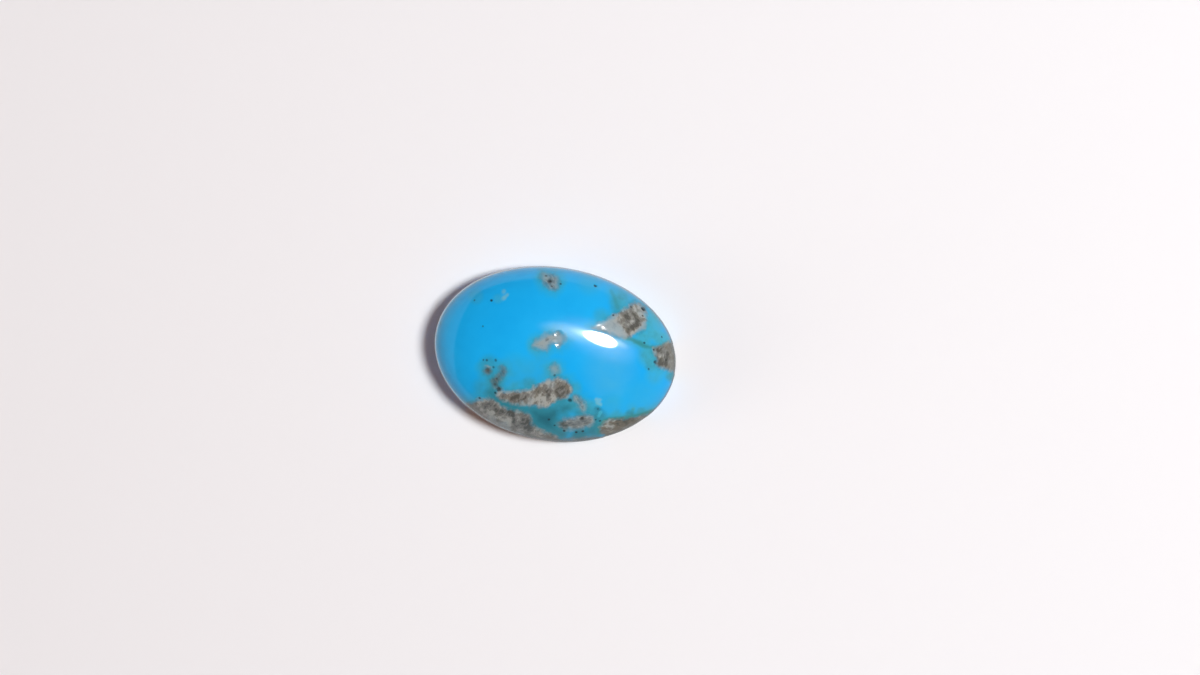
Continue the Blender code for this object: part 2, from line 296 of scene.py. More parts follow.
# Pits and specks: x, y, radius, depth, then shade from 0, black, to 1, pale. A speck has no depth.
PITS = {
    "middle patch, upper": (0.02, 1.56, 0.16, 0.10, 0.9),
    "middle patch, lower": (0.20, 0.77, 0.14, 0.09, 0.9),
    "shoulder patch, tip": (3.20, 2.38, 0.13, 0.07, 0.8),
    "shoulder patch, far side": (5.88, 4.36, 0.20, 0.12, 0.0),
    "top edge patch": (-1.23, 5.25, 0.17, 0.10, 0.1),
    "top edge, alone": (2.14, 5.46, 0.15, 0.10, 0.0),
    "left cluster": (-4.64, -1.92, 0.19, 0.08, 0.25),
    "lower band, left": (-3.59, -3.15, 0.18, 0.10, 0.1),
    "lower band, middle": (0.05, -3.05, 0.20, 0.12, 0.2),
    "lower band, right": (1.66, -3.10, 0.16, 0.10, 0.1),
    "lower patch": (2.74, -4.31, 0.19, 0.12, 0.1),
    "right edge patch": (7.37, 0.65, 0.17, 0.10, 0.1),
    "left dot": (-5.17, 3.17, 0.11, 0, 0.0),
    "far left dot": (-6.41, 2.97, 0.09, 0, 0.3),
    "faint left dot": (-5.47, 1.19, 0.08, 0, 0.3),
    "beside the top edge patch": (-0.39, 5.16, 0.09, 0, 0.1),
    "in the top edge patch, left": (-1.54, 5.60, 0.10, 0, 0.2),
    "in the top edge patch, low": (-1.00, 4.90, 0.10, 0, 0.2),
    "under the small patch": (0.27, -1.46, 0.10, 0, 0.2),
    "in the right green": (7.55, 2.54, 0.09, 0, 0.1),
    "in the seam": (6.34, 1.90, 0.10, 0, 0.1),
    "left of the right end": (6.95, 0.07, 0.09, 0, 0.2),
    "in the right end": (8.13, 0.94, 0.10, 0, 0.1),
    "corner of the right end": (7.10, 1.52, 0.09, 0, 0.1),
    "shoulder patch, upper side": (3.77, 3.52, 0.09, 0, 0.1),
    "shoulder patch, upper spot": (4.97, 4.35, 0.11, 0, 0.15),
    "shoulder patch, side": (5.92, 3.86, 0.10, 0, 0.1),
    "left cluster, first": (-5.03, -1.22, 0.08, 0, 0.2),
    "left cluster, second": (-4.78, -1.18, 0.10, 0, 0.2),
    "left cluster, third": (-4.15, -1.10, 0.11, 0, 0.3),
    "left cluster, fourth": (-4.22, -1.62, 0.10, 0, 0.3),
    "left chain, upper": (-3.86, -2.41, 0.10, 0, 0.2),
    "left chain, lower": (-3.92, -2.84, 0.11, 0, 0.2),
    "left corner of the band": (-3.80, -3.44, 0.12, 0, 0.1),
    "corner of the lower edge": (-4.88, -4.02, 0.10, 0, 0.1),
    "in the teal": (0.37, -4.74, 0.11, 0, 0.1),
    "in the teal, low": (0.85, -5.10, 0.09, 0, 0.1),
    "under the lower patch, left": (1.60, -5.40, 0.12, 0, 0.0),
    "under the lower patch, middle": (2.49, -5.36, 0.12, 0, 0.0),
    "under the lower patch, right": (2.96, -5.20, 0.11, 0, 0.0),
    "left of the lower right edge": (4.06, -4.26, 0.10, 0, 0.1),
    "left end of the lower right edge": (3.75, -4.20, 0.08, 0, 0.1),
    "between the pale flecks": (3.76, -3.40, 0.09, 0, 0.35),
}

# How many waves of each pattern fit in a metre
EDGE_WANDER_PER_M = 900.0
SIDE_WANDER_PER_M = 240.0
GRAIN_PER_M = 3200.0
WANDER_PER_M = 250.0

# How far one step of the seed moves those patterns, in metres
SEED_SHIFT = (0.11, 0.23, 0.17)

# The cube that the stone is shaped from runs from -1 to 1. Points above this are its top, the dome's.
CUBE_TOP = 0.9999

# The surface belongs to the back where its normal points this far down
FACING_DOWN = -0.7

# Host rock is worn from the first of these depths inside its outline, in mm, and fully at the second
WEAR_STARTS = -0.05
WEAR_FULL = 0.2

# A stain is at its strongest up to this share of its reach
STAIN_CORE = 0.25

# The back has no seams, so each seam counts as this much farther off there, in mm
SEAMLESS = 9.0

# Pits are dropped onto the dome from this high, in metres
PIT_DROP = 1.0

# What each patch, each stain or mark, and each pit or speck carries beside its place, and in what unit
PATCH_FACTS = {"tone": 1, "veil": 1, "lay": math.radians(1)}
STAIN_FACTS = {"reach": MM, "tone": 1, "strength": 1}
PIT_FACTS = {"radius": MM, "depth": MM, "shade": 1}


# Nodes, written as plain sums

class Wire:
    """An output of a node. Plain arithmetic on it adds the nodes that do the sum."""

    def __init__(self, socket):
        self.socket = socket
        self.tree = socket.id_data

    def __getitem__(self, name):
        """Another output of the same node."""
        return Wire(next(one for one in self.socket.node.outputs if one.enabled and one.name == name))

    def __add__(self, other):
        return maths("ADD", self, other)

    def __sub__(self, other):
        return maths("SUBTRACT", self, other)

    def __rsub__(self, other):
        return maths("SUBTRACT", other, self)

    def __mul__(self, other):
        return maths("MULTIPLY", self, other)

    def __truediv__(self, other):
        return maths("DIVIDE", self, other)

    def __rtruediv__(self, other):
        return maths("DIVIDE", other, self)

    def __neg__(self):
        return maths("MULTIPLY", self, -1.0)


def join(value, socket):
    """Feed a socket from another node's output, or set it to a plain value."""
    if isinstance(value, Wire):
        value = value.socket
    if isinstance(value, bpy.types.NodeSocket):
        socket.id_data.links.new(value, socket)
    elif value is not None:
        if socket.type == "RGBA":
            value = (*value, 1)[:4]
        elif socket.type == "VECTOR" and isinstance(value, (int, float)):
            value = (value, value, value)
        socket.default_value = value


def feed(made, **values):
    """Feed a node's inputs by name."""
    for name, value in values.items():
        join(value, made.inputs[name.replace("_", " ")])


def node(tree, kind, *values, **settings):
    """Add a node with its settings, feed its live inputs in order, and return its first live output."""
    made = tree.nodes.new(kind)
    for name, value in settings.items():
        setattr(made, name, value)
    for socket, value in zip([socket for socket in made.inputs if socket.enabled], values):
        join(value, socket)
    return Wire(next(socket for socket in made.outputs if socket.enabled))


def maths(operation, *values):
    """One step of arithmetic, on vectors where one of the values is a vector."""
    wires = [value for value in values if isinstance(value, Wire)]
    on_vectors = any(isinstance(value, tuple) for value in values)
    on_vectors = on_vectors or any(wire.socket.type in ("VECTOR", "RGBA") for wire in wires)
    kind = "ShaderNodeVectorMath" if on_vectors else "ShaderNodeMath"
    return node(wires[0].tree, kind, *values, operation=operation)


def vector(tree, x, y, z):
    """A vector from its parts."""
    return node(tree, "ShaderNodeCombineXYZ", x, y, z)


def parts(wire):
    """A vector's three parts."""
    x = node(wire.tree, "ShaderNodeSeparateXYZ", wire)
    return x, x["Y"], x["Z"]


def switch(test, otherwise, value):
    """The first number where the test fails, and the second where it holds."""
    return node(test.tree, "GeometryNodeSwitch", test, otherwise, value, input_type="FLOAT")


def ramp(wire, start, end, low=0.0, high=1.0):
    """Ease from low to high as a number goes from start to end."""
    return node(wire.tree, "ShaderNodeMapRange", wire, start, end, low, high,
                interpolation_type="SMOOTHSTEP")


def blend(share, first, second, kind="RGBA"):
    """Mix two colours, or two numbers where the kind is FLOAT."""
    return node(share.tree, "ShaderNodeMix", share, first, second, data_type=kind)["Result"]


def noise(place, scale, detail, roughness=0.5):
    """Smooth noise from 0 to 1. Its Color is three of them."""
    return node(place.tree, "ShaderNodeTexNoise", place, scale, detail, roughness)


def swing(wire):
    """Noise stretched to run from -1 to 1."""
    return (wire - 0.5) * 2


def new_tree(name, kind, inputs, outputs):
    """An empty node group with named sockets, each given as its name and its kind."""
    tree = bpy.data.node_groups.new(name, kind)
    for way, sockets in {"INPUT": inputs, "OUTPUT": outputs}.items():
        for socket_name, socket_kind in sockets.items():
            tree.interface.new_socket(socket_name, in_out=way, socket_type="NodeSocket" + socket_kind)
    entry = tree.nodes.new("NodeGroupInput")
    leave = tree.nodes.new("NodeGroupOutput")
    return tree, {socket_name: Wire(entry.outputs[socket_name]) for socket_name in inputs}, leave.inputs


def use_group(tree, group, **values):
    """Place a node group in a tree, feed its inputs by name, and return its outputs by name."""
    made = tree.nodes.new(tree.bl_idname.replace("Tree", "Group"))
    made.node_tree = group
    feed(made, **values)
    return {socket.name: Wire(socket) for socket in made.outputs}


# Sizes and colours that a user would change

def length(name, default, description):
    """A property in metres."""
    return FloatProperty(name=name, description=description, default=default, unit="LENGTH", precision=5)


def power(name, default, description):
    """A light's strength."""
    return FloatProperty(name=name, description=description, default=default, unit="POWER", min=0)


def colour(name, default, description):
    """A colour property."""
    return FloatVectorProperty(name=name, description=description, default=default, subtype="COLOR",
                               min=0, max=1)


def share(name, default, description):
    """A share of something, which may also be taken away."""
    return FloatProperty(name=name, description=description, default=default, min=-1, max=1, precision=3)


class StoneSizes(bpy.types.PropertyGroup):
    """The stone's sizes and its fine relief. Each is also an input of the tree that cuts the stone."""

    length: length("Length", NODE_SIZE.x - 2 * SKIN, "Long axis of the oval")
    width: length("Width", NODE_SIZE.y - 2 * SKIN, "Short axis of the oval")
    height: length("Height", NODE_SIZE.z - SKIN, "From the flat back to the top of the dome")
    fullness: FloatProperty(name="Fullness", description="2 is a quarter ellipse, more is flatter on top",
                            default=2.2, min=1.5, max=4)
    girdle_top: length("Girdle top", 1.5 * MM, "Where the dome meets the girdle wall")
    girdle_lean: length("Girdle lean", 0.09 * MM, "How far the girdle leans in at its top")
    back_bevel: length("Back bevel", 0.25 * MM, "Rounded edge of the flat back")
    egg: share("Egg", -0.023, "How much one end of the oval is narrower")
    bend: share("Bend", 0.016, "How much the oval's long axis is bent")
    skew: share("Skew", 0.013, "How much the sides of the oval lean to one end")
    quads: IntProperty(name="Quads", description="Faces across the dome", default=204, min=16)
    rings: IntProperty(name="Rings", description="Faces down the girdle and bevel", default=16, min=6)
    undercut: length("Undercut", 0.02 * MM, "How far the softer host rock is worn below the blue")
    grain_relief: length("Grain relief", 0.012 * MM, "Height of the grains in the host rock")
    wander: length("Wander", 0.006 * MM, "How far the polishing strays from a true dome")
    ragged: length("Ragged", 0.12 * MM, "How far the edges of the host rock stray from their outlines")
    seed: IntProperty(name="Seed", description="Changes the edges and grains", default=7, min=0)


# Shape

def dome_angle(x, y):
    """Angle on a disc of a point of the square from -1 to 1."""
    flat = node(x.tree, "FunctionNodeCompare", maths("ABSOLUTE", x), maths("ABSOLUTE", y),
                data_type="FLOAT", operation="GREATER_EQUAL")
    eighth = math.pi / 4
    angle = switch(flat, 2 * eighth - x / y * eighth, y / x * eighth)
    turned = maths("LESS_THAN", switch(flat, y, x), 0.0)
    return turned * math.pi + angle


def outline_point(sizes, angle):
    """Plan point of the oval outline at an angle."""
    along = maths("COSINE", angle)
    across = maths("SINE", angle)
    half_length = sizes["Length"] / 2
    half_width = sizes["Width"] / 2
    x = half_length * (across * across * sizes["Skew"] + along)
    y = half_width * across * (along * sizes["Egg"] + 1)
    bent = along * along * sizes["Bend"]
    return vector(angle.tree, x, half_length * bent + y, 0.0)


def girdle_curve(sizes, down):
    """Inset and height of the side, as down goes from 0 at the dome to 1 at the flat back."""
    quarter = math.pi / 2
    bevel = sizes["Back bevel"]
    wall = sizes["Girdle top"] - bevel
    travel = down * (wall + bevel * quarter)
    on_wall = maths("MINIMUM", travel / wall, 1.0)
    turn = maths("MAXIMUM", travel - wall, 0.0) / bevel
    swell = 1 - maths("SINE", on_wall * quarter)
    tuck = 1 - maths("COSINE", turn)
    inset = swell * sizes["Girdle lean"] + tuck * bevel
    height = sizes["Girdle top"] - on_wall * wall - maths("SINE", turn) * bevel
    return inset, height


def stone_place(tree, sizes):
    """Where each point of a cube from -1 to 1 goes on the stone."""
    x, y, z = parts(node(tree, "GeometryNodeInputPosition"))
    out = maths("MAXIMUM", maths("ABSOLUTE", x), maths("ABSOLUTE", y))
    top = maths("GREATER_THAN", z, CUBE_TOP)
    inset, side_height = girdle_curve(sizes, 0.5 - z / 2)
    edge = outline_point(sizes, dome_angle(x, y))
    kept = 1 - inset / maths("LENGTH", edge)
    slope = out * (math.pi / 2)
    exponent = 2 / sizes["Fullness"]
    arc = maths("POWER", maths("SINE", slope), exponent)
    drop = maths("POWER", maths("MAXIMUM", maths("COSINE", slope), 0.0), exponent)
    dome = sizes["Height"] - sizes["Girdle top"]
    height = switch(top, side_height, dome * drop + sizes["Girdle top"])
    return edge * (kept * switch(top, out, arc)) + vector(tree, 0.0, 0.0, height)


def named(tree, name):
    """A number that the geometry carries under a name."""
    return node(tree, "GeometryNodeInputNamedAttribute", name, data_type="FLOAT")


def sample(source, field, index, kind="FLOAT", domain="POINT"):
    """What a field is at one point, or edge, of some geometry."""
    return node(source.tree, "GeometryNodeSampleIndex", source, field, index, data_type=kind, domain=domain)


def object_shape(thing):
    """The geometry of an object given to the tree."""
    return node(thing.tree, "GeometryNodeObjectInfo", thing)["Geometry"]


def patch_field_group():
    """How deep each point lies inside the nearest of some flat patches, in mm, with that patch's facts."""
    tree, entry, leave = new_tree(
        "Patch field", "GeometryNodeTree", {"Patches": "Geometry", "Plan": "Vector"},
        {name: "Float" for name in ("depth", *PATCH_FACTS)})
    to_edge, to_face = (
        node(tree, "GeometryNodeProximity", entry["Patches"], None, entry["Plan"],
             target_element=element)["Distance"]
        for element in ("EDGES", "FACES"))
    join((to_edge - to_face * 2) / MM, leave["depth"])
    for name in PATCH_FACTS:
        nearest = node(tree, "GeometryNodeSampleNearestSurface", entry["Patches"], named(tree, name), None,
                       entry["Plan"], data_type="FLOAT")
        join(nearest, leave[name])
    return tree


def stain_field_group():
    """How strongly some soft round stains cover each point, and their tone there, one stain at a time."""
    tree, entry, leave = new_tree(
        "Stain field", "GeometryNodeTree", {"Stains": "Geometry", "Plan": "Vector"},
        {"Cover": "Float", "Tone": "Float"})
    begin = tree.nodes.new("GeometryNodeRepeatInput")
    finish = tree.nodes.new("GeometryNodeRepeatOutput")
    begin.pair_with_output(finish)
    finish.repeat_items.clear()
    for name in ("Bare", "Weight", "Toned"):
        finish.repeat_items.new("FLOAT", name)
    count = node(tree, "GeometryNodeAttributeDomainSize", entry["Stains"])["Point Count"]
    feed(begin, Iterations=count, Bare=1.0)
    turn, bare, weight, toned = (
        Wire(begin.outputs[name]) for name in ("Iteration", "Bare", "Weight", "Toned"))
    middle = sample(entry["Stains"], node(tree, "GeometryNodeInputPosition"), turn, "FLOAT_VECTOR")
    reach, tone, strength = (sample(entry["Stains"], named(tree, name), turn) for name in STAIN_FACTS)
    away = maths("LENGTH", entry["Plan"] - middle)
    felt = ramp(away / reach, STAIN_CORE, 1.0, low=1.0, high=0.0) * strength
    feed(finish, Bare=bare * (1 - felt), Weight=weight + felt, Toned=felt * tone + toned)
    join(1 - Wire(finish.outputs["Bare"]), leave["Cover"])
    join(Wire(finish.outputs["Toned"]) / Wire(finish.outputs["Weight"]), leave["Tone"])
    return tree


def jitter(place, scale, reach):
    """A wandering vector of up to about the given reach."""
    return swing(noise(place, scale, detail=2.0)["Color"]) * reach


def drop_pits(tree, stone, pits):
    """The pits' points, dropped from above onto the dome."""
    over = node(tree, "GeometryNodeInputPosition") + (0.0, 0.0, PIT_DROP)
    fallen = node(tree, "GeometryNodeRaycast", stone, None, over, (0.0, 0.0, -1.0), 2 * PIT_DROP)
    return node(tree, "GeometryNodeSetPosition", pits, True, fallen["Hit Position"])


def place_in_pit(tree, pits, nearest):
    """Where a point lies from the middle of a pit, in radii of its mouth, and the pit's facts."""
    here = node(tree, "GeometryNodeInputPosition")
    middle = sample(pits, here, nearest, "FLOAT_VECTOR")
    facts = {name: sample(pits, named(tree, name), nearest) for name in PIT_FACTS}
    return (here - middle) / facts["radius"], facts


def store(stone, values, kind="FLOAT", domain="POINT"):
    """Keep values on every point, or corner, under the names that the materials read."""
    for name, value in values.items():
        stone = node(stone.tree, "GeometryNodeStoreNamedAttribute", stone, True, name, value,
                     data_type=kind, domain=domain)
    return stone


def stone_tree(values):
    """The whole stone: a cube's points moved to the dome, girdle and back, then worn. Each of the named
    values is one input of the tree."""
    kinds = {int: "Int", float: "Float", bpy.types.Object: "Object", bpy.types.Material: "Material"}
    tree, sizes, leave = new_tree(
        "Cut stone", "GeometryNodeTree", {name: kinds[type(value)] for name, value in values.items()},
        {"Stone": "Geometry"})
    across = sizes["Quads"] + 1
    down = sizes["Rings"] + 1
    cube = node(tree, "GeometryNodeMeshCube", (2.0, 2.0, 2.0), across, across, down)
    shaped = node(tree, "GeometryNodeSetPosition", cube, True, stone_place(tree, sizes))

    here = node(tree, "GeometryNodeInputPosition")
    facing = node(tree, "GeometryNodeInputNormal")
    under = maths("LESS_THAN", parts(facing)[2], FACING_DOWN)
    above = 1 - under
    drawn = here + sizes["Seed"] * SEED_SHIFT
    lower = maths("MAXIMUM", sizes["Girdle top"] - parts(here)[2], 0.0)
    strayed = here + jitter(drawn, EDGE_WANDER_PER_M, sizes["Ragged"])
    strayed = strayed + jitter(drawn, SIDE_WANDER_PER_M, lower)
    plan = strayed * (1.0, 1.0, 0.0)

    patch_field = patch_field_group()
    dome_rock, back_rock = (
        use_group(tree, patch_field, Patches=object_shape(sizes[name]), Plan=plan)
        for name in ("Dome Rock", "Back Rock"))
    rock = {name: switch(under, dome_rock[name], back_rock[name]) for name in dome_rock}
    stain_field = stain_field_group()
    stains, marks = (
        use_group(tree, stain_field, Stains=object_shape(sizes[name]), Plan=plan)
        for name in ("Stains", "Rock Marks"))
    lines = object_shape(sizes["Seams"])
    seams = node(tree, "GeometryNodeProximity", lines, None, plan, target_element="EDGES")
    nearest_seam = node(tree, "GeometryNodeSampleNearest", lines, plan, domain="EDGE")
    pits = drop_pits(tree, shaped, object_shape(sizes["Pits"]))
    by_point = node(tree, "GeometryNodeSampleNearest", pits, here, domain="POINT")
    by_face = node(tree, "GeometryNodeFieldOnDomain", by_point, domain="FACE", data_type="INT")
    pit_place, pit = place_in_pit(tree, pits, by_point)
    mark_place, mark = place_in_pit(tree, pits, by_face)

    grain = noise(drawn, GRAIN_PER_M, detail=3.0) * sizes["Grain relief"]
    worn = (sizes["Undercut"] + grain) * ramp(rock["depth"], WEAR_STARTS, WEAR_FULL)
    strayed_polish = noise(drawn, WANDER_PER_M, detail=1.0) * sizes["Wander"]
    reach = maths("LENGTH", pit_place)
    sunk = maths("MAXIMUM", 1 - reach * reach, 0.0) * pit["depth"]
    lost = (worn + strayed_polish + sunk) * above

    stone = store(shaped, {
        "rock": rock["depth"], "tone": rock["tone"], "veil": rock["veil"], "lay": rock["lay"],
        "stain_and_sheen": stains["Cover"] * above, "stain_tone": stains["Tone"],
        "mark": marks["Cover"] * marks["Tone"] * above,
        "seam": seams["Distance"] / MM + under * SEAMLESS,
        "seam_strength": sample(lines, named(tree, "strength"), nearest_seam, domain="EDGE")})
    stone = store(stone, {"pit": mark_place}, "FLOAT_VECTOR", "CORNER")
    stone = store(stone, {"pit_shade": mark["shade"]}, "FLOAT", "CORNER")
    stone = node(tree, "GeometryNodeSetPosition", stone, True, None, facing * -lost)
    stone = node(tree, "GeometryNodeSetShadeSmooth", stone, True, True)
    stone = node(tree, "GeometryNodeRealizeInstances", stone)
    stone = node(tree, "GeometryNodeSetMaterial", stone, True, sizes["Polished"])
    stone = node(tree, "GeometryNodeSetMaterial", stone, under, sizes["Ground"])
    join(stone, leave["Stone"])
    return tree


def columns(rows, facts, domain):
    """The facts that end each row, as one list of numbers for each fact."""
    endings = zip(*(row[-len(facts):] for row in rows))
    return {name: (domain, [value * unit for value in values])
            for (name, unit), values in zip(facts.items(), endings)}


def helper(name, points, edges, faces, facts):
    """A hidden mesh that the tree reads, with named numbers on its points, edges or faces."""
    mesh = bpy.data.meshes.new(name)
    mesh.from_pydata([(x * MM, y * MM, 0) for x, y in points], edges, faces)
    for fact, (domain, values) in facts.items():
        mesh.attributes.new(fact, "FLOAT", domain).data.foreach_set("value", values)
    thing = bpy.data.objects.new(name, mesh)
    bpy.context.collection.objects.link(thing)
    return thing


def patches_helper(name, patches):
    """One flat face for each named patch, which carries its tone, veil and lay."""
    points = []
    faces = []
    for *_, outline in patches.values():
        faces.append(range(len(points), len(points) + len(outline)))
        points.extend(outline)
    rows = [facts for *facts, _ in patches.values()]
    return helper(name, points, [], faces, columns(rows, PATCH_FACTS, "FACE"))


def points_helper(name, places, facts):
    """Every named place as a loose point, which carries its facts."""
    rows = list(places.values())
    return helper(name, [row[:2] for row in rows], [], [], columns(rows, facts, "POINT"))


def seams_helper():
    """Every seam as a chain of edges, which carry its strength."""
    points = []
    edges = []
    strengths = []
    for strength, line in SEAMS.values():
        first = len(points)
        edges.extend((first + step, first + step + 1) for step in range(len(line) - 1))
        strengths.extend(strength for _ in line[1:])
        points.extend(line)
    return helper("seams", points, edges, [], {"strength": ("EDGE", strengths)})


def set_inputs(modifier, values):
    """Set a modifier's inputs by their sockets' identifiers."""
    for item in modifier.node_group.interface.items_tree:
        if item.item_type == "SOCKET" and item.in_out == "INPUT":
            modifier[item.identifier] = values[item.name]


def bake_down(thing, context):
    """Turn what an object's modifiers make into its own plain mesh, without the cube's empty slot."""
    depsgraph = context.evaluated_depsgraph_get()
    made = bpy.data.meshes.new_from_object(thing.evaluated_get(depsgraph), preserve_all_data_layers=True,
                                           depsgraph=depsgraph)
    if made.materials[0] is None:
        made.materials.pop(index=0)
    thing.modifiers.clear()
    thing.data = made


class CABOCHON_OT_cut_stone(bpy.types.Operator):
    """Cut the stone to its oval, dome it, and wear its host rock and pits"""

    bl_idname = "cabochon.cut_stone"
    bl_label = "Cut the stone"

    def execute(self, context):
        sizes = context.scene.cabochon_sizes
        properties = sizes.bl_rna.properties
        values = {properties[name].name: getattr(sizes, name) for name in sizes.__annotations__}
        helpers = {
            "Dome Rock": patches_helper("dome_rock", DOME_ROCK),
            "Back Rock": patches_helper("back_rock", BACK_ROCK),
            "Stains": points_helper("stains", STAINS_AND_SHEEN, STAIN_FACTS),
            "Rock Marks": points_helper("rock_marks", ROCK_MARKS, STAIN_FACTS),
            "Seams": seams_helper(),
            "Pits": points_helper("pits", PITS, PIT_FACTS),
        }
        values.update(helpers)
        values["Polished"] = bpy.data.materials.new("polished_turquoise")
        values["Ground"] = bpy.data.materials.new("ground_back")
        stone = bpy.data.objects.new(PIECE, bpy.data.meshes.new(PIECE))
        context.collection.objects.link(stone)
        cutting = stone.modifiers.new("Cut", "NODES")
        cutting.node_group = stone_tree(values)
        set_inputs(cutting, values)
        bake_down(stone, context)
        for thing in helpers.values():
            bpy.data.objects.remove(thing, do_unlink=True)
        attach(stone, "root")
        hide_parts(NODE)
        return {"FINISHED"}


# Finish

# How many waves of each pattern in the stone fit in a millimetre
DRIFT_PER_MM = 0.16
FLECK_PER_MM = 1.2
MOTTLE_PER_MM = 1.3
GRAINS_PER_MM = 2.2
BROAD_PER_MM = 1.4
SAND_PER_MM = 4.6
EDGE_GRAINS_PER_MM = 2.3
SPECK_EDGE_PER_MM = 3.5
DUST_PER_MM = 3.0
SCRATCHES_PER_MM = 1.0

# Steps aside that keep one pattern from repeating another, in mm
BROAD_ASIDE = (3.1, 9.4, 2.2)
GAPS_ASIDE = (5.2, 1.3, 7.7)

# How the grains and the sand of the host rock are drawn out along its lay, across it and upward
GRAIN_STRETCH = (0.75, 1.05, 0.6)
SAND_STRETCH = (0.6, 1.3, 0.5)

# Under this height, in mm, the grains crowd together down the side, by this much more for each mm
CROWDED_BELOW = 2.2
CROWDING = 1.2

# The host rock's level goes from dark gaps, through its middle, to pale grains. Three noises are added,
# spread and shifted, and then a patch's tone and the marks darken it.
LEVEL_SPREAD = 0.42
LEVEL_SHIFT = -0.13
TONE_DARKENS = 0.03
MARK_DARKENS = 0.14
MIDDLE_LEVEL = 0.49
WASH_AND_SHEEN_LEVEL = 0.58
DARK_LEVELS = (0.34, 0.49)
PALE_LEVELS = (0.48, 0.64)
GAP_LEVELS = (0.41, 0.33)
GAP_DARKNESS = 0.5

# Marks are washed over with blue from the first of these tones to the second: in places a skin of blue over
# the host rock, in others painted sheen of the highlight's glow and painted light on the lower edge's rim.
# The wash calms the grain towards the washed level and tints it, by these shares.
WASH_AND_SHEEN_TONES = (-0.4, -1.9)
WASH_AND_SHEEN_CALMS = 0.4
WASH_AND_SHEEN_TINTS = 0.8

# The side's grain is calmed towards its middle level, from the first of these heights down to the second,
# in mm, where this share of it is gone
CALM_HEIGHTS = (3.6, 2.3)
SIDE_CALM = 0.6

# Host rock turns brown from the first of these tones to the second
BROWN_TONES = (0.15, 0.85)

# The blue goes from deep to sky between these values of a slow drift, with flecks that stray by this much,
# and gets deeper by this much with each mm to the right: painted light, so that the left side looks more
# lit
DRIFT_RANGE = (0.35, 0.65)
FLECK_STRAYS = 0.4
LEFT_PAINTED_LIGHT_PER_MM = 0.07

# Where there is no fleck a stain keeps this share of its strength, and flecks add up to this much more. A
# stain turns pale from the first of these tones to the second.
THIN_STAIN = 0.75
FLECK_THICKENS = 0.8
PALE_TONES = (-0.1, -0.9)

# Green round the host rock, and teal close to it: from how far off to where it is full, in mm, how strong
# it is there, and how far flecks move the teal
HALO_REACH = (-0.9, 0.1)
HALO_STRENGTH = 0.55
CLOSE_REACH = (-0.3, 0.05)
CLOSE_STRENGTH = 0.3
CLOSE_STRAYS = 0.45

# A seam's green haze and the seam itself: half width in mm, with the share of its strength that the haze
# has and how far flecks move the seam's edge
HAZE_WIDTH = 0.7
HAZE_STRENGTH = 0.8
SEAM_WIDTH = 0.24
SEAM_STRAYS = 0.15

# Host rock is lighter up to this far inside its outline, in mm, by this much of a mark
RIM_DEPTH = 0.35
RIM_LIGHTENS = 0.5

# The mask of a patch: how far its edge strays and how soft it is, in mm. Noise seldom goes more than half
# of its way, so the gain doubles it. A veil softens the edge and hides part of the rock.
NOISE_GAIN = 2.0
EDGE_RAGGED = 0.12
EDGE_SOFTNESS = 0.21
VEIL_SOFTENS = 0.2
VEIL_HIDES = 0.45

# A speck fades in between these distances from its middle, in radii, and the paler ones are weaker
SPECK_FADE = (1.3, 0.45)
SPECK_STRENGTH = 0.9
PALE_WEAKENS = 0.6

# Specks go from black to dim between the first two shades, and to pale between the second two
DIM_SHADES = (0.0, 0.25)
PALE_SHADES = (0.5, 1.0)

# The polish is a coat that does the mirroring, over stone that hardly mirrors and scatters light softly.
# Host rock takes a duller polish than the blue.
COAT_IOR = 1.6
STONE_IOR = 1.15
STONE_SCATTER = 0.1
ROCK_ROUGHENS = 0.2
ROCK_DULLS = 0.15

# The ground back: its dust, and the scratches of the grit, long and narrow, turned from +X
DUST_COLOUR = (0.45, 0.55, 0.58)
DUST_COVER = 0.3
GROUND_ROUGHNESS = 0.5
DUST_ROUGHENS = 0.2
SCRATCH_TURN = (0, 0, 0.4)
SCRATCH_STRETCH = (0.6, 14.0, 1.0)
ROCK_RELIEF = 0.6

# Fine relief that only the shading shows
RELIEF_STRENGTH = 0.5
RELIEF_HEIGHT = 0.03 * MM


class StoneFinish(bpy.types.PropertyGroup):
    """The colours and gloss of the stone."""

    sky: colour("Sky blue", (0.004, 0.455, 0.91), "The lighter blue")
    deep: colour("Deep blue", (0.0, 0.405, 0.865), "The deeper blue")
    pale_blue: colour("Pale blue", (0.16, 0.50, 0.65), "Pale blotches")
    cyan: colour("Green-blue", (0.05, 0.41, 0.56), "Pale green-blue of stained stretches")
    teal: colour("Dark teal", (0.014, 0.145, 0.20), "Dark teal of stained stretches")
    halo: colour("Halo", (0.042, 0.37, 0.48), "Green-blue stain round the host rock")
    seam: colour("Seam", (0.03, 0.24, 0.24), "Green of the seams")
    rock: colour("Rock", (0.196, 0.198, 0.184), "Middle grey of the host rock")
    pale_rock: colour("Pale rock", (0.365, 0.376, 0.345), "Light grains of the host rock")
    dark_rock: colour("Dark rock", (0.089, 0.089, 0.077), "Dark gaps in the host rock")
    brown_rock: colour("Brown rock", (0.168, 0.153, 0.117), "Olive brown of stained host rock")
    # Wash: partly a skin of blue over the host rock, partly painted sheen and painted light where marks
    # call for it
    wash_and_sheen: colour("Wash", (0.29, 0.385, 0.43), "Pale blue-grey where a skin of blue covers the host rock")
    speck: colour("Speck", (0.012, 0.09, 0.13), "Dark teal of the paler specks")
    black: colour("Black", (0.008, 0.014, 0.016), "Deep pits and the darkest specks")
    base_roughness: share("Base roughness", 0.28, "Spread of the soft glow round a highlight")
    gloss_roughness: share("Gloss roughness", 0.03, "Sharpness of the polish")


def attribute(tree, name, kind="Fac"):
    """A number or vector kept on the stone's points."""
    made = tree.nodes.new("ShaderNodeAttribute")
    made.attribute_name = name
    return Wire(made.outputs[kind])


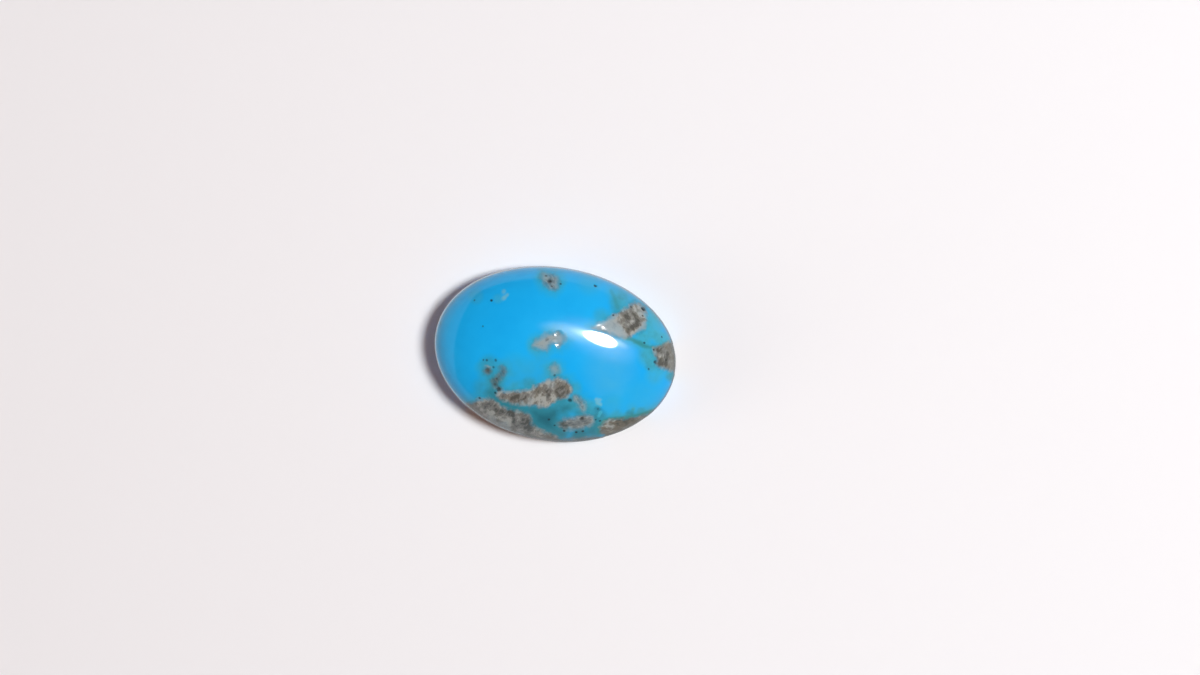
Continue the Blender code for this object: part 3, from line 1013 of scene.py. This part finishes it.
def grainy_edge_group():
    """A patch's mask, with an edge as ragged as the grains that it cuts through."""
    tree, entry, leave = new_tree(
        "Grainy edge", "ShaderNodeTree",
        {"Depth": "Float", "Place": "Vector", "Ragged": "Float", "Softness": "Float"},
        {"Mask": "Float"})
    strays = swing(noise(entry["Place"], EDGE_GRAINS_PER_MM, detail=2.0)) * NOISE_GAIN * entry["Ragged"]
    join(ramp(entry["Depth"] + strays, -entry["Softness"], entry["Softness"]), leave["Mask"])
    return tree


def host_rock_group():
    """Grey-brown rock of soft light and dark grains drawn out along its lay, and its height for a bump."""
    tree, entry, leave = new_tree(
        "Host rock", "ShaderNodeTree",
        {"Place": "Vector", "Tone": "Float", "Lay": "Float", "Mark": "Float", "Middle": "Color",
         "Pale": "Color", "Dark": "Color", "Brown": "Color", "Wash": "Color"},
        {"Color": "Color", "Height": "Float"})
    place = entry["Place"]
    height = parts(place)[2]
    crowded = maths("MAXIMUM", CROWDED_BELOW - height, 0.0) * CROWDING
    turned = node(tree, "ShaderNodeVectorRotate", place, None, -entry["Lay"], rotation_type="Z_AXIS")
    turned = turned - vector(tree, 0.0, 0.0, crowded)
    grains = noise(turned * GRAIN_STRETCH, GRAINS_PER_MM, detail=2.0)
    broad = noise(place + BROAD_ASIDE, BROAD_PER_MM, detail=2.0)
    sand = noise(turned * SAND_STRETCH, SAND_PER_MM, detail=2.0, roughness=0.6)
    level = (grains + broad + sand) * LEVEL_SPREAD + LEVEL_SHIFT
    level = level - entry["Tone"] * TONE_DARKENS
    level = level - maths("MAXIMUM", entry["Mark"], -1.0) * MARK_DARKENS
    # Pale marks take the wash: a skin of blue, and also painted sheen and painted light
    wash_and_sheen_share = ramp(entry["Mark"], *WASH_AND_SHEEN_TONES)
    calm = ramp(height, *CALM_HEIGHTS, high=SIDE_CALM)
    level = blend(calm, level, MIDDLE_LEVEL, "FLOAT")
    level = blend(wash_and_sheen_share * WASH_AND_SHEEN_CALMS, level, WASH_AND_SHEEN_LEVEL, "FLOAT")

    stained = entry["Tone"] + swing(noise(place, MOTTLE_PER_MM, detail=2.0))
    ground = blend(ramp(stained, *BROWN_TONES), entry["Middle"], entry["Brown"])
    shaded = blend(ramp(level, *DARK_LEVELS), entry["Dark"], ground)
    lit = blend(ramp(level, *PALE_LEVELS), shaded, entry["Pale"])
    gaps = ramp(noise(place + GAPS_ASIDE, SAND_PER_MM, detail=3.0, roughness=0.6), *GAP_LEVELS)
    lit = blend(gaps * GAP_DARKNESS, lit, entry["Dark"])
    join(blend(wash_and_sheen_share * WASH_AND_SHEEN_TINTS, lit, entry["Wash"]), leave["Color"])
    join(level, leave["Height"])
    return tree


def blue_group():
    """The blue itself, faintly mottled and with painted light that makes it lighter towards the left, with
    its stains, a little painted sheen among them, the green round the rock, and green seams.
    """
    tree, entry, leave = new_tree(
        "Blue", "ShaderNodeTree",
        {"Place": "Vector", "Rock": "Float", "Stain": "Float", "Stain Tone": "Float", "Seam": "Float",
         "Seam Strength": "Float", "Sky": "Color", "Deep": "Color", "Pale": "Color", "Cyan": "Color",
         "Teal": "Color", "Halo": "Color", "Green": "Color"},
        {"Color": "Color"})
    place = entry["Place"]
    fleck = noise(place, FLECK_PER_MM, detail=4.0, roughness=0.6)
    strays = swing(fleck) * FLECK_STRAYS
    drift = ramp(noise(place, DRIFT_PER_MM, detail=3.0), *DRIFT_RANGE)
    # Painted light: the blue turns deeper to the right, so the left side looks lit more
    mixed = drift + strays - parts(place)[0] * LEFT_PAINTED_LIGHT_PER_MM
    mixed = maths("MINIMUM", maths("MAXIMUM", mixed, 0.0), 1.0)
    body = blend(mixed, entry["Deep"], entry["Sky"])

    tone = entry["Stain Tone"]
    stain_and_sheen = blend(ramp(tone + strays, 0.0, 1.0), entry["Cyan"], entry["Teal"])
    stain_and_sheen = blend(ramp(tone, *PALE_TONES), stain_and_sheen, entry["Pale"])
    cover = entry["Stain"] * (fleck * FLECK_THICKENS + THIN_STAIN)
    body = blend(maths("MINIMUM", cover, 1.0), body, stain_and_sheen)

    halo = ramp(entry["Rock"] + strays, *HALO_REACH) * HALO_STRENGTH
    haze = ramp(entry["Seam"], HAZE_WIDTH, 0.0) * entry["Seam Strength"] * HAZE_STRENGTH
    body = blend(maths("MAXIMUM", halo, haze), body, entry["Halo"])
    close = ramp(entry["Rock"] + swing(fleck) * CLOSE_STRAYS, *CLOSE_REACH) * CLOSE_STRENGTH
    body = blend(close, body, entry["Teal"])
    line = ramp(entry["Seam"] + swing(fleck) * SEAM_STRAYS, SEAM_WIDTH, 0.0) * entry["Seam Strength"]
    join(blend(line, body, entry["Green"]), leave["Color"])
    return tree


def stone_surface(tree, finish, groups):
    """Colour, rock mask, rock height and place, shared by the polish and the ground back."""
    place = node(tree, "ShaderNodeMapping", node(tree, "ShaderNodeTexCoord")["Object"], None, None,
                 (1 / MM, 1 / MM, 1 / MM))
    depth = attribute(tree, "rock")
    veil = attribute(tree, "veil")
    blue = use_group(
        tree, groups["blue"], Place=place, Rock=depth, Stain=attribute(tree, "stain_and_sheen"),
        Stain_Tone=attribute(tree, "stain_tone"), Seam=attribute(tree, "seam"),
        Seam_Strength=attribute(tree, "seam_strength"), Sky=finish.sky, Deep=finish.deep,
        Pale=finish.pale_blue, Cyan=finish.cyan, Teal=finish.teal, Halo=finish.halo, Green=finish.seam)
    rock = use_group(
        tree, groups["rock"], Place=place, Tone=attribute(tree, "tone"), Lay=attribute(tree, "lay"),
        Mark=attribute(tree, "mark") - ramp(depth, RIM_DEPTH, 0.0, high=RIM_LIGHTENS),
        Middle=finish.rock, Pale=finish.pale_rock, Dark=finish.dark_rock, Brown=finish.brown_rock,
        Wash=finish.wash_and_sheen)
    edge = use_group(tree, groups["edge"], Depth=depth, Place=place, Ragged=EDGE_RAGGED,
                     Softness=veil * VEIL_SOFTENS + EDGE_SOFTNESS)
    bare = edge["Mask"] * (1 - veil * VEIL_HIDES)
    tint = blend(bare, blue["Color"], rock["Color"])

    stray = noise(place, SPECK_EDGE_PER_MM, detail=2.0)["Color"] - 0.5
    from_pit = maths("LENGTH", attribute(tree, "pit", "Vector") + stray)
    shade = attribute(tree, "pit_shade")
    dim = blend(bare, finish.speck, finish.dark_rock)
    filling = blend(ramp(shade, *DIM_SHADES), finish.black, dim)
    filling = blend(ramp(shade, *PALE_SHADES), filling, finish.pale_rock)
    filled = ramp(from_pit, *SPECK_FADE) * (SPECK_STRENGTH - shade * PALE_WEAKENS)
    return blend(filled, tint, filling), bare, rock["Height"], place


def start_material(material):
    """Turn on a material's nodes, and return its tree and its shader."""
    material.use_nodes = True
    tree = material.node_tree
    return tree, tree.nodes["Principled BSDF"]


def relief(tree, height):
    """A normal that follows fine relief."""
    bump = node(tree, "ShaderNodeBump")
    feed(bump.socket.node, Strength=RELIEF_STRENGTH, Distance=RELIEF_HEIGHT, Height=height)
    return bump


def polish(finish, groups):
    """The dome and girdle: a glassy polish, duller over the host rock."""
    tree, shader = start_material(bpy.data.materials["polished_turquoise"])
    tint, bare, height, _ = stone_surface(tree, finish, groups)
    feed(shader, Base_Color=tint, Roughness=bare * ROCK_ROUGHENS + finish.base_roughness,
         Coat_Weight=1 - bare * ROCK_DULLS, Coat_Roughness=finish.gloss_roughness, Coat_IOR=COAT_IOR,
         IOR=STONE_IOR, Diffuse_Roughness=STONE_SCATTER, Normal=relief(tree, height * bare))


def grind(finish, groups):
    """The flat back: ground with a fine grit and left unpolished."""
    tree, shader = start_material(bpy.data.materials["ground_back"])
    tint, bare, height, place = stone_surface(tree, finish, groups)
    dust = noise(place, DUST_PER_MM, detail=4.0, roughness=0.7)
    drawn = node(tree, "ShaderNodeMapping", place, None, SCRATCH_TURN, SCRATCH_STRETCH)
    scratches = noise(drawn, SCRATCHES_PER_MM, detail=3.0, roughness=0.6)
    feed(shader, Base_Color=blend(dust * DUST_COVER, tint, DUST_COLOUR),
         Roughness=dust * DUST_ROUGHENS + GROUND_ROUGHNESS,
         Normal=relief(tree, height * bare * ROCK_RELIEF + scratches))


class CABOCHON_OT_finish_stone(bpy.types.Operator):
    """Give the dome its polish and the back its ground finish"""

    bl_idname = "cabochon.finish_stone"
    bl_label = "Finish the stone"

    def execute(self, context):
        finish = context.scene.cabochon_finish
        groups = {"edge": grainy_edge_group(), "rock": host_rock_group(), "blue": blue_group()}
        polish(finish, groups)
        grind(finish, groups)
        return {"FINISHED"}


# Stage

# The camera's sensor in millimetres, the picture in pixels, and how near and far the camera sees
SENSOR_WIDTH = 36.0
PICTURE_WIDTH = 1200
PICTURE_HEIGHT = 675
NEAREST_SEEN = 1 * MM
FARTHEST_SEEN = 10.0

# The outline's middle in the picture, and how far the long axis drops to the right there
STONE_PIXEL = (555.2, 354.3)
LONG_AXIS_DROP = math.radians(9.3)

# Zenith of anything level with the floor, in degrees
LEVEL = 90

# Every light stands this far from the stone, in metres
LIGHT_DISTANCE = 0.45

# A light's own square goes from 0 to 1
LIGHT_MIDDLE = (0.5, 0.5, 0.0)
LIGHT_RIM = 0.5

# Each light's azimuth and zenith in degrees, its angles across as the stone sees it, its slant, the share
# of its reach that stays full, and whether it shows only in the polish
LIGHTS = {
    "key": (13, 27, (19, 19), 0, 0.6, False),
    "fill": (200, 72, (34, 50), 0, 0.0, False),
    "highlight": (45, 24, (18.8, 12.5), -2, 0.6, True),
    "bloom": (40, 26.5, (54, 40), -13, 0.1, True),
    "glow": (73, 18, (30, 18), -6, 0.0, True),
    "tail": (58, 21, (18, 10), -8, 0.0, True),
    "sheen": (38, 30, (24, 10), -8, 0.0, True),
}

# The floor: how far it runs from the stone, how far it lies under it, and how dull it is. Its mirror image
# is brighter towards the bright side's azimuth by a share.
FLOOR_REACH = 1.5
FLOOR_GAP = 0.02 * MM
FLOOR_CORNERS = ((-1, -1), (1, -1), (1, 1), (-1, 1))
FLOOR_BRIGHT_SIDE = 130
FLOOR_BRIGHTENS = 0.4
FLOOR_ROUGHNESS = 0.7
FLOOR_SHINE = 0.2

# Middle of the left card, mostly below the floor, the cosine of how far it reaches round, and its soft edge
CARD_PLACE = (177, 111)
CARD_EDGE = 0.68
CARD_SOFTNESS = 0.03

# The glow on the right sets in between the first two cosines, which are from the right, and fades upward
# between the second two, which are from straight up
GLOW_RIGHT = (-0.3, 0.6)
GLOW_UP = (0.95, 0.2)


class StageSettings(bpy.types.PropertyGroup):
    """The floor, the light and the camera."""

    floor: colour("Floor", (0.866, 0.857, 0.871), "Pale floor")
    mirrored: colour("Mirrored floor", (0.40, 0.425, 0.445), "The floor as the polish mirrors it")
    room: colour("Room", (0.135, 0.08, 0.076), "The dim room all round, as the polish mirrors it")
    room_light: colour("Room light", (0.112, 0.034, 0.018), "What the room casts on floor and stone")
    card: colour("Card", (0.465, 0.63, 0.69), "Low card on the left")
    side_glow: colour("Side glow", (0.27, 0.27, 0.275), "Soft glow low on the right")
    key: power("Key", 3.31, "The light that casts the shadow")
    key_tint: colour("Key tint", (0.93, 0.98, 1.0), "Coolness of the light that casts the shadow")
    fill: power("Fill", 1.7, "The weak light from the left")
    fill_tint: colour("Fill tint", (0.92, 0.84, 0.76), "Warmth of the weak light from the left")
    highlight: power("Highlight", 2.5, "The light seen in the polish")
    bloom: power("Bloom", 0.6, "The wide soft glow round the highlight")
    glow: power("Glow", 0.33, "The soft glow beside the highlight")
    tail: power("Tail", 0.25, "The fading end of the highlight")
    sheen: power("Sheen", 0.2, "The faint sheen right of the highlight")
    lens: FloatProperty(name="Lens", description="Focal length in millimetres", default=100.0, min=10)
    view_width: length("View width", 89.04 * MM, "What the picture's width takes in at the floor")


def direction(azimuth, zenith):
    """Unit vector towards a place round the stone: degrees from +X seen from above, and from +Z."""
    turn = math.radians(azimuth)
    tilt = math.radians(zenith)
    return Vector((math.cos(turn) * math.sin(tilt), math.sin(turn) * math.sin(tilt), math.cos(tilt)))


def towards(wire, azimuth, zenith):
    """Cosine between a direction in a tree and a place round the stone."""
    return maths("DOT_PRODUCT", wire, tuple(direction(azimuth, zenith)))


def add_light(context, name, strength, azimuth, zenith, spans, slant, edge, mirrored):
    """A soft oval light that faces the stone. Spans are its angles across as the stone sees it, slant is
    how its long axis is turned from +X seen from above, and edge is the share of its reach that stays full.
    A mirrored light shows only in the polish, and any other only lights the surface."""
    data = bpy.data.lights.new(name, "AREA")
    data.shape = "ELLIPSE"
    data.size, data.size_y = (2 * LIGHT_DISTANCE * math.tan(math.radians(span) / 2) for span in spans)
    data.energy = strength
    data.use_nodes = True
    tree = data.node_tree
    across = node(tree, "ShaderNodeNewGeometry")["Parametric"]
    from_middle = maths("LENGTH", across - LIGHT_MIDDLE)
    faded = ramp(from_middle, edge * LIGHT_RIM, LIGHT_RIM, low=1.0, high=0.0)
    feed(tree.nodes["Emission"], Strength=faded)
    light = bpy.data.objects.new(name, data)
    context.collection.objects.link(light)
    outward = direction(azimuth, zenith)
    upward = outward.cross(direction(slant, LEVEL)).normalized()
    light.matrix_world = Matrix((upward.cross(outward), upward, outward)).transposed().to_4x4()
    light.location = outward * LIGHT_DISTANCE
    light.visible_camera = False
    light.visible_glossy = mirrored
    light.visible_diffuse = not mirrored
    return data


def add_floor(context, stage):
    """A wide plain floor, a hair under the stone, seen from above only. The polish mirrors it dimly."""
    mesh = bpy.data.meshes.new("floor")
    corners = [(x * FLOOR_REACH, y * FLOOR_REACH, -FLOOR_GAP) for x, y in FLOOR_CORNERS]
    mesh.from_pydata(corners, [], [(0, 1, 2, 3)])
    floor = bpy.data.objects.new("floor", mesh)
    context.collection.objects.link(floor)
    material = bpy.data.materials.new("pale_floor")
    mesh.materials.append(material)
    tree, shader = start_material(material)
    feed(shader, Base_Color=stage.floor, Roughness=FLOOR_ROUGHNESS, Specular_IOR_Level=FLOOR_SHINE)
    away = maths("NORMALIZE", node(tree, "ShaderNodeTexCoord")["Object"])
    brighter = towards(away, FLOOR_BRIGHT_SIDE, LEVEL) * FLOOR_BRIGHTENS + 1
    mirrored = node(tree, "ShaderNodeEmission", stage.mirrored, brighter)
    seen = node(tree, "ShaderNodeLightPath")["Is Glossy Ray"]
    shown = node(tree, "ShaderNodeMixShader", seen, shader.outputs[0], mirrored)
    behind = node(tree, "ShaderNodeNewGeometry")["Backfacing"]
    clear = node(tree, "ShaderNodeBsdfTransparent")
    feed(tree.nodes["Material Output"], Surface=node(tree, "ShaderNodeMixShader", behind, shown, clear))


def add_camera(context, stage):
    """Look straight down, with the stone where the picture has it."""
    data = bpy.data.cameras.new("camera")
    data.lens = stage.lens
    data.sensor_width = SENSOR_WIDTH
    data.clip_start = NEAREST_SEEN
    data.clip_end = FARTHEST_SEEN
    camera = bpy.data.objects.new("camera", data)
    context.collection.objects.link(camera)
    per_pixel = stage.view_width / PICTURE_WIDTH
    right = (PICTURE_WIDTH / 2 - STONE_PIXEL[0]) * per_pixel
    up = (STONE_PIXEL[1] - PICTURE_HEIGHT / 2) * per_pixel
    camera.rotation_euler = (0, 0, LONG_AXIS_DROP)
    height = stage.view_width * stage.lens / SENSOR_WIDTH
    camera.location = camera.rotation_euler.to_matrix() @ Vector((right, up, height))
    context.scene.camera = camera


def add_world(context, stage):
    """A dim room, with a low pale card on the left and a soft pale glow low on the right."""
    world = bpy.data.worlds.new("room")
    context.scene.world = world
    world.use_nodes = True
    tree = world.node_tree
    outward = node(tree, "ShaderNodeTexCoord")["Generated"]
    card = ramp(towards(outward, *CARD_PLACE), CARD_EDGE, CARD_EDGE + CARD_SOFTNESS)
    right = towards(outward, math.degrees(LONG_AXIS_DROP), LEVEL)
    glow = ramp(right, *GLOW_RIGHT) * ramp(parts(outward)[2], *GLOW_UP)
    tint = blend(card, stage.room, stage.card)
    tint = blend(glow, tint, stage.side_glow)
    mirrored = node(tree, "ShaderNodeLightPath")["Is Glossy Ray"]
    feed(tree.nodes["Background"], Color=blend(mirrored, stage.room_light, tint))


class CABOCHON_OT_set_stage(bpy.types.Operator):
    """Lay the floor, and set the lights and the camera"""

    bl_idname = "cabochon.set_stage"
    bl_label = "Set the stage"

    def execute(self, context):
        stage = context.scene.cabochon_stage
        add_floor(context, stage)
        add_camera(context, stage)
        add_world(context, stage)
        for name, facts in LIGHTS.items():
            light = add_light(context, name, getattr(stage, name), *facts)
            light.color = getattr(stage, name + "_tint", light.color)
        context.scene.view_settings.view_transform = "Standard"
        return {"FINISHED"}


class CABOCHON_PT_sidebar(bpy.types.Panel):
    """Lists the stone's settings and steps"""

    bl_idname = "CABOCHON_PT_sidebar"
    bl_label = "Turquoise cabochon"
    bl_space_type = "VIEW_3D"
    bl_region_type = "UI"
    bl_category = "Cabochon"

    def draw(self, context):
        for settings, step in STEPS.items():
            box = self.layout.box()
            group = getattr(context.scene, settings)
            for name in group.__annotations__:
                box.prop(group, name)
            box.operator(step)


STEPS = {
    "cabochon_sizes": "cabochon.cut_stone",
    "cabochon_finish": "cabochon.finish_stone",
    "cabochon_stage": "cabochon.set_stage",
}

SETTINGS = {
    "cabochon_sizes": StoneSizes,
    "cabochon_finish": StoneFinish,
    "cabochon_stage": StageSettings,
}

CLASSES = (
    StoneSizes,
    StoneFinish,
    StageSettings,
    CABOCHON_OT_cut_stone,
    CABOCHON_OT_finish_stone,
    CABOCHON_OT_set_stage,
    CABOCHON_PT_sidebar,
)


def register():
    for one in CLASSES:
        bpy.utils.register_class(one)
    for name, group in SETTINGS.items():
        setattr(bpy.types.Scene, name, PointerProperty(type=group))


def unregister():
    for name in SETTINGS:
        delattr(bpy.types.Scene, name)
    for one in reversed(CLASSES):
        bpy.utils.unregister_class(one)


def main():
    register()
    bpy.ops.cabochon.cut_stone()
    bpy.ops.cabochon.finish_stone()
    bpy.ops.cabochon.set_stage()


if __name__ == "__main__":
    main()
